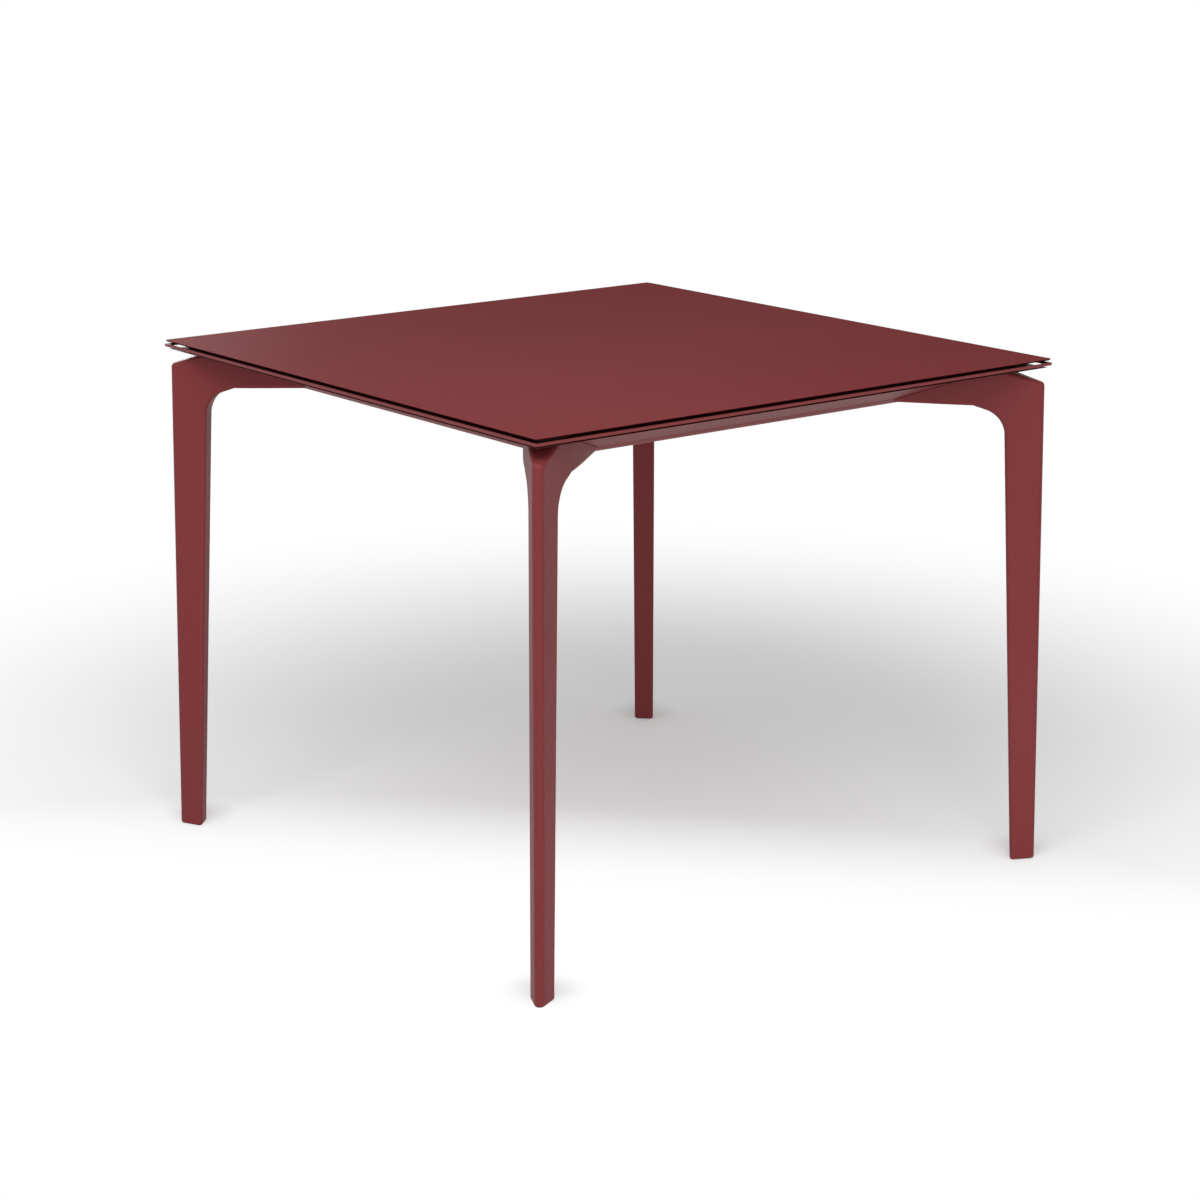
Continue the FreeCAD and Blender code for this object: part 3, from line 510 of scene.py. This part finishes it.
# Foam strips and gaskets: black closed-cell foam tape near the rim and thin rubber strips on the inner ledge.
# Both are stuck to the rails and pressed flat by the top, which they keep from drumming.


def make_black_foam():
    material, tree, shader, place = start_bare("black_foam", metallic=0.0)
    cells = add(tree, "ShaderNodeTexVoronoi", "cells", {"Vector": place, "Scale": 1900.0}).outputs["Distance"]
    black = mix_colours(tree, "black", cells, (0.010, 0.010, 0.011), (0.034, 0.034, 0.035))
    tree.links.new(black, shader.inputs["Base Color"])
    rough_from(tree, shader, cells, smooth=0.80, rough=0.95)
    raise_relief(tree, shader, cells, strength=0.7, distance=0.0002)
    shader.inputs["Specular IOR Level"].default_value = 0.2
    return material


def make_black_rubber():
    material, tree, shader, place = start_bare("black_rubber", metallic=0.0)
    bloom = noise(tree, "bloom", place, scale=60.0, detail=5.0)
    black = mix_colours(tree, "black", bloom, (0.014, 0.014, 0.015), (0.040, 0.040, 0.041))
    tree.links.new(black, shader.inputs["Base Color"])
    rough_from(tree, shader, bloom, smooth=0.60, rough=0.78)
    skin = noise(tree, "skin", place, scale=2800.0, detail=2.0)
    raise_relief(tree, shader, skin, strength=0.3, distance=0.00005)
    return material


black_foam = make_black_foam()
black_rubber = make_black_rubber()
for side in ("front", "right", "back", "left"):
    dress("edge_tape_" + side, black_foam)
    dress("ledge_gasket_" + side, black_rubber)

# Flange nuts: plated steel, cold-formed with a hexagon and a wide foot, one on each stud.
# They draw the top down on its strips from under the ledge.

nut_top = 0.7335


def combine(tree, name, operation, *shapes):
    """Unites or intersects closed shapes, or cuts the later ones out of the first."""
    step = add(tree, "GeometryNodeMeshBoolean", name, operation=operation, solver="MANIFOLD")
    for number, shape in enumerate(shapes):
        kept = operation == "DIFFERENCE" and number == 0
        tree.links.new(shape, step.inputs["Mesh 1" if kept else "Mesh 2"])
    return step.outputs["Mesh"]


def make_flange_nut():
    """Hangs from zero: a washer foot with a skirt, then a chamfered hexagon, all bored through."""
    tree, sizes = start_tree(
        "flange_nut", ("Foot Radius", "Foot Height", "Corner Radius", "Height", "Bore Radius"))
    height, foot_height, corner_radius = sizes["Height"], sizes["Foot Height"], sizes["Corner Radius"]
    hexagon = bar(tree, "hexagon", 6, corner_radius, height, share_of(tree, "bottom", height, -1.0))
    crown_height = share_of(tree, "crown_height", height, 1.4)
    crown_narrow = share_of(tree, "crown_narrow", corner_radius, 0.76)
    crown_wide = work_out(tree, "crown_wide", "MULTIPLY_ADD", crown_height, 1.7, crown_narrow)
    crown_bottom = share_of(tree, "crown_bottom", height, -1.08)
    crown = taper(tree, "crown", 48, crown_wide, crown_narrow, crown_height, crown_bottom)
    chamfered = combine(tree, "chamfered", "INTERSECT", hexagon, crown)
    foot_half = share_of(tree, "foot_half", foot_height, 0.5)
    foot_bottom = share_of(tree, "foot_bottom", foot_height, -0.5)
    washer = bar(tree, "washer", 40, sizes["Foot Radius"], foot_half, foot_bottom)
    skirt_bottom = share_of(tree, "skirt_bottom", foot_height, -1.0)
    skirt = taper(tree, "skirt", 40, sizes["Foot Radius"], corner_radius, foot_half, skirt_bottom)
    blank = combine(tree, "blank", "UNION", chamfered, washer, skirt)
    drill_depth = share_of(tree, "drill_depth", height, 1.4)
    drill_bottom = share_of(tree, "drill_bottom", height, -1.2)
    drill = bar(tree, "drill", 32, sizes["Bore Radius"], drill_depth, drill_bottom)
    set_at_seats(tree, sizes, combine(tree, "bored", "DIFFERENCE", blank, drill))
    return tree


nut_seats = [(x, y, nut_top) for x, y in stud_places]
nuts = fit_pieces("flange_nuts", make_flange_nut(), nut_seats, zinc_plate, seed=11, foot_radius=0.0059,
                  foot_height=0.0012, corner_radius=0.0046, height=0.005, bore_radius=0.0028)
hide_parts("panel_nuts")

# Legs: hollow gravity castings in aluminium, kite-shaped in section, with an arm that nests under two rails.
# The flats are linished before coating, so the powder lies over slow waves and a slightly coarser skin.

leg_coat = coated("maroon_leg", marks=(30.0, 30.0, 9.0), grain=2000.0, peel=240.0, roughness=0.50,
                  thin_coat_and_highlight_edges=0.15, relief=0.5, sheen=0.155)
for corner in corners:
    dress("leg_" + corner, leg_coat)

# Leg bolts: blackened steel socket screws, two long and two short to a leg, put in from below.
# They pass through the arm and the rail's web and are tapped into the corner block.


def make_black_oxide():
    material, tree, shader, place = start_bare("black_oxide", metallic=0.7)
    oil = noise(tree, "oil", place, scale=420.0, detail=4.0)
    black = mix_colours(tree, "black", oil, (0.018, 0.018, 0.020), (0.044, 0.045, 0.050))
    rubbed = share_of(tree, "rubbed", worn_edges(tree, 0.0003), 0.5)
    steel = mix_colours(tree, "steel", rubbed, black, (0.28, 0.28, 0.29))
    tree.links.new(steel, shader.inputs["Base Color"])
    rough_from(tree, shader, oil, smooth=0.34, rough=0.56)
    scale = noise(tree, "scale", place, scale=3600.0, detail=2.0)
    raise_relief(tree, shader, scale, strength=0.3, distance=0.00003)
    return material


def make_socket_screw():
    """The underside of the head lies at zero, with the thread above it and the socket open downward."""
    tree, sizes = start_tree("socket_screw", (
        "Radius", "Length", "Pitch", "Head Radius", "Head Height", "Socket Radius", "Socket Depth"))
    head_radius, head_height, socket_depth = sizes["Head Radius"], sizes["Head Height"], sizes["Socket Depth"]
    head_bottom = share_of(tree, "head_bottom", head_height, -1.0)
    blank = bar(tree, "head", 48, head_radius, head_height, head_bottom)
    chamfer_narrow = share_of(tree, "chamfer_narrow", head_radius, 0.86)
    chamfer_height = share_of(tree, "chamfer_height", head_height, 1.3)
    chamfer_wide = work_out(tree, "chamfer_wide", "ADD", chamfer_narrow, chamfer_height)
    chamfer_bottom = share_of(tree, "chamfer_bottom", head_height, -1.06)
    chamfer = taper(tree, "chamfer", 48, chamfer_wide, chamfer_narrow, chamfer_height, chamfer_bottom)
    turned = combine(tree, "turned", "INTERSECT", blank, chamfer)
    punch_depth = share_of(tree, "punch_depth", socket_depth, 2.0)
    punch_bottom = work_out(tree, "punch_bottom", "SUBTRACT", head_bottom, socket_depth)
    punch = bar(tree, "punch", 6, sizes["Socket Radius"], punch_depth, punch_bottom)
    punched = combine(tree, "punched", "DIFFERENCE", turned, punch)
    shank = threaded_bar(tree, sizes["Radius"], sizes["Length"], sizes["Pitch"])
    set_at_seats(tree, sizes, join(tree, "screw", punched, shank))
    return tree


def bolt_seats(along, across, height):
    """Both sides of every corner's diagonal."""
    return [(x, y, height) for x, y in round_the_table(along, -across) + round_the_table(-along, -across)]


black_oxide = make_black_oxide()
socket_screw = make_socket_screw()
for name, seats, length, seed in (
        ("leg_bolts_long", bolt_seats(along=0.356662, across=0.379289, height=0.683), 0.040, 5),
        ("leg_bolts_short", bolt_seats(along=0.324842, across=0.353126, height=0.685), 0.025, 8)):
    bolts = fit_pieces(name.replace("leg_bolts", "socket_screws"), socket_screw, seats, black_oxide, seed,
                       radius=0.004, length=length, pitch=0.00125, head_radius=0.0065, head_height=0.005,
                       socket_radius=0.0029, socket_depth=0.0025)
    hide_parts(name)

# Glides: black nylon plugs, moulded with a spark-eroded skin and pressed into the feet of the hollow legs.
# Only a thin rim shows, scuffed where it stands on the floor.


def make_black_nylon():
    material, tree, shader, place = start_bare("black_nylon", metallic=0.0)
    skin = noise(tree, "skin", place, scale=1700.0, detail=3.0)
    scuff = noise(tree, "scuff", place, scale=130.0, detail=5.0)
    black = mix_colours(tree, "black", skin, (0.016, 0.016, 0.017), (0.032, 0.032, 0.033))
    greyed = work_out(tree, "greyed", "MULTIPLY", worn_edges(tree, 0.0005), scuff)
    tree.links.new(mix_colours(tree, "worn", greyed, black, (0.10, 0.10, 0.10)), shader.inputs["Base Color"])
    rough_from(tree, shader, scuff, smooth=0.46, rough=0.68)
    raise_relief(tree, shader, skin, strength=0.4, distance=0.00006)
    return material


black_nylon = make_black_nylon()
for corner in corners:
    dress("glide_" + corner, black_nylon)

# Floor: a broad white sheet of studio paper that runs out of sight.
# It keeps the table's shadow and the darker spots at the feet, fades to plain white away from them,
# and is clear from below to show the underside.

floor_reach = 60.0


def seen_plainly(tree):
    """One for a ray from the camera, or one mirrored or passed on from it, and zero for the light itself."""
    path = add(tree, "ShaderNodeLightPath", "path").outputs
    direct = work_out(tree, "direct", "MAXIMUM", path["Is Camera Ray"], path["Is Glossy Ray"])
    return work_out(tree, "seen", "MAXIMUM", direct, path["Is Transmission Ray"])


def make_white_paper():
    paper_white = (0.90, 0.90, 0.90, 1.0)
    shadow_middle, shadow_reach, least_white = (0.35, 0.35, 0.0), (0.45, 1.6), 0.22
    away_from_camera, front_fade = (0.74, 0.67, 0.0), (0.30, -0.22)
    foot_shadow_shift, foot_shadow_reach, foot_white = (0.0246, 0.0315, 0.0), (0.015, 0.065), 0.45
    foot_low, foot_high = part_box("glide_back_right")
    foot = (Vector(foot_low) + Vector(foot_high)) / 2.0
    soft = {"interpolation_type": "SMOOTHSTEP"}
    material = bpy.data.materials.new("white_paper")
    material.use_nodes = True
    tree = material.node_tree
    shader = tree.nodes["Principled BSDF"]
    shader.inputs["Base Color"].default_value = paper_white
    shader.inputs["Roughness"].default_value = 0.9
    shader.inputs["Specular IOR Level"].default_value = 0.0
    place = own_place(tree)
    away = measure(tree, "away", "DISTANCE", place, shadow_middle)
    far = remap(tree, "far", away, shadow_reach, (least_white, 1.0), **soft)
    depth = measure(tree, "depth", "DOT_PRODUCT", place, away_from_camera)
    near = remap(tree, "near", depth, front_fade, **soft)
    behind = add(tree, "ShaderNodeVectorMath", "behind", {0: place, 1: foot_shadow_shift},
                 operation="SUBTRACT")
    folded = fold(tree, behind.outputs["Vector"])
    from_foot = measure(tree, "from_foot", "DISTANCE", folded, (foot.x, foot.y, 0.0))
    clear_of_foot = remap(tree, "clear_of_foot", from_foot, foot_shadow_reach, (foot_white, 1.0), **soft)
    open_floor = work_out(tree, "open_floor", "MAXIMUM", far, near)
    fade = work_out(tree, "fade", "MULTIPLY", open_floor, clear_of_foot)
    white_share = work_out(tree, "white_share", "MULTIPLY", fade, seen_plainly(tree))
    white = add(tree, "ShaderNodeEmission", "white")
    blend = add(tree, "ShaderNodeMixShader", "blend", {
        0: white_share, 1: shader.outputs["BSDF"], 2: white.outputs["Emission"]})
    from_below = add(tree, "ShaderNodeNewGeometry", "from_below").outputs["Backfacing"]
    clear = add(tree, "ShaderNodeBsdfTransparent", "clear")
    one_way = add(tree, "ShaderNodeMixShader", "one_way", {
        0: from_below, 1: blend.outputs["Shader"], 2: clear.outputs["BSDF"]})
    tree.links.new(one_way.outputs["Shader"], tree.nodes["Material Output"].inputs["Surface"])
    return material


floor_mesh = bpy.data.meshes.new("floor")
floor_corners = [(x, y, 0.0) for x, y in round_the_table(-floor_reach, -floor_reach)]
floor_mesh.from_pydata(floor_corners, [], [(0, 1, 2, 3)])
floor_mesh.materials.append(make_white_paper())
floor = bpy.data.objects.new("floor", floor_mesh)
bpy.context.scene.collection.objects.link(floor)

# Studio: an even white surround, a broad lamp high in front, a low soft fill and white cards.
# Two cards behind the table show only in the sheen of the top; one on the floor lifts the sloping webs.

world_light = 0.49
world = bpy.data.worlds.new("studio")
bpy.context.scene.world = world
world.use_nodes = True
surround = world.node_tree.nodes["Background"]
surround.inputs["Color"].default_value = (1.0, 1.0, 1.0, 1.0)
level = remap(world.node_tree, "level", seen_plainly(world.node_tree), new=(world_light, 1.0))
world.node_tree.links.new(level, surround.inputs["Strength"])


def hang_lamp(name, kind, place, target, power):
    lamp = bpy.data.lights.new(name, kind)
    lamp.energy = power
    holder = bpy.data.objects.new(name, lamp)
    holder.location = place
    holder.rotation_euler = (Vector(target) - Vector(place)).to_track_quat("-Z", "Y").to_euler()
    bpy.context.scene.collection.objects.link(holder)
    return holder


def hang_card(name, place, target, width, depth, power):
    card = hang_lamp(name, "AREA", place, target, power)
    card.data.shape = "RECTANGLE"
    card.data.size = width
    card.data.size_y = depth
    card.visible_camera = False
    return card


hang_card("front_lamp", place=(-1.50, -1.25, 2.50), target=(-0.1, -0.1, 0.6),
          width=2.8, depth=0.9, power=53.0)
left_card = hang_card("left_card", place=(-0.20, 1.75, 1.15), target=(-0.40, 0.40, 0.74),
                      width=1.2, depth=0.7, power=18.0)
left_card.visible_diffuse = False
top_card = hang_card("top_card", place=(0.55, 0.75, 1.25), target=(-0.30, -0.30, 0.74),
                     width=0.8, depth=0.3, power=2.0)
top_card.visible_diffuse = False
floor_card = hang_card("floor_card", place=(0.05, -0.75, 0.03), target=(0.05, -0.40, 0.70),
                       width=0.9, depth=0.25, power=0.8)
floor_card.visible_glossy = False
fill = hang_lamp("fill", "SUN", place=(0.0, 0.0, 2.0), target=(0.48, 0.86, 1.78), power=0.80)
fill.data.angle = math.radians(30.0)

# Camera: a long lens at a standing person's height, looking across the front corner of the table.
# Its place and lens were fitted to the square of the top and to the four legs.

camera_data = bpy.data.cameras.new("camera")
camera_data.sensor_width = 36.0
camera_data.lens = 85.11
camera = bpy.data.objects.new("camera", camera_data)
camera.location = (-2.4604, -3.1488, 1.4406)
camera.rotation_euler = (math.radians(75.0), 0.0, math.radians(-38.0))
bpy.context.scene.collection.objects.link(camera)
bpy.context.scene.camera = camera
bpy.context.scene.view_settings.view_transform = "Standard"
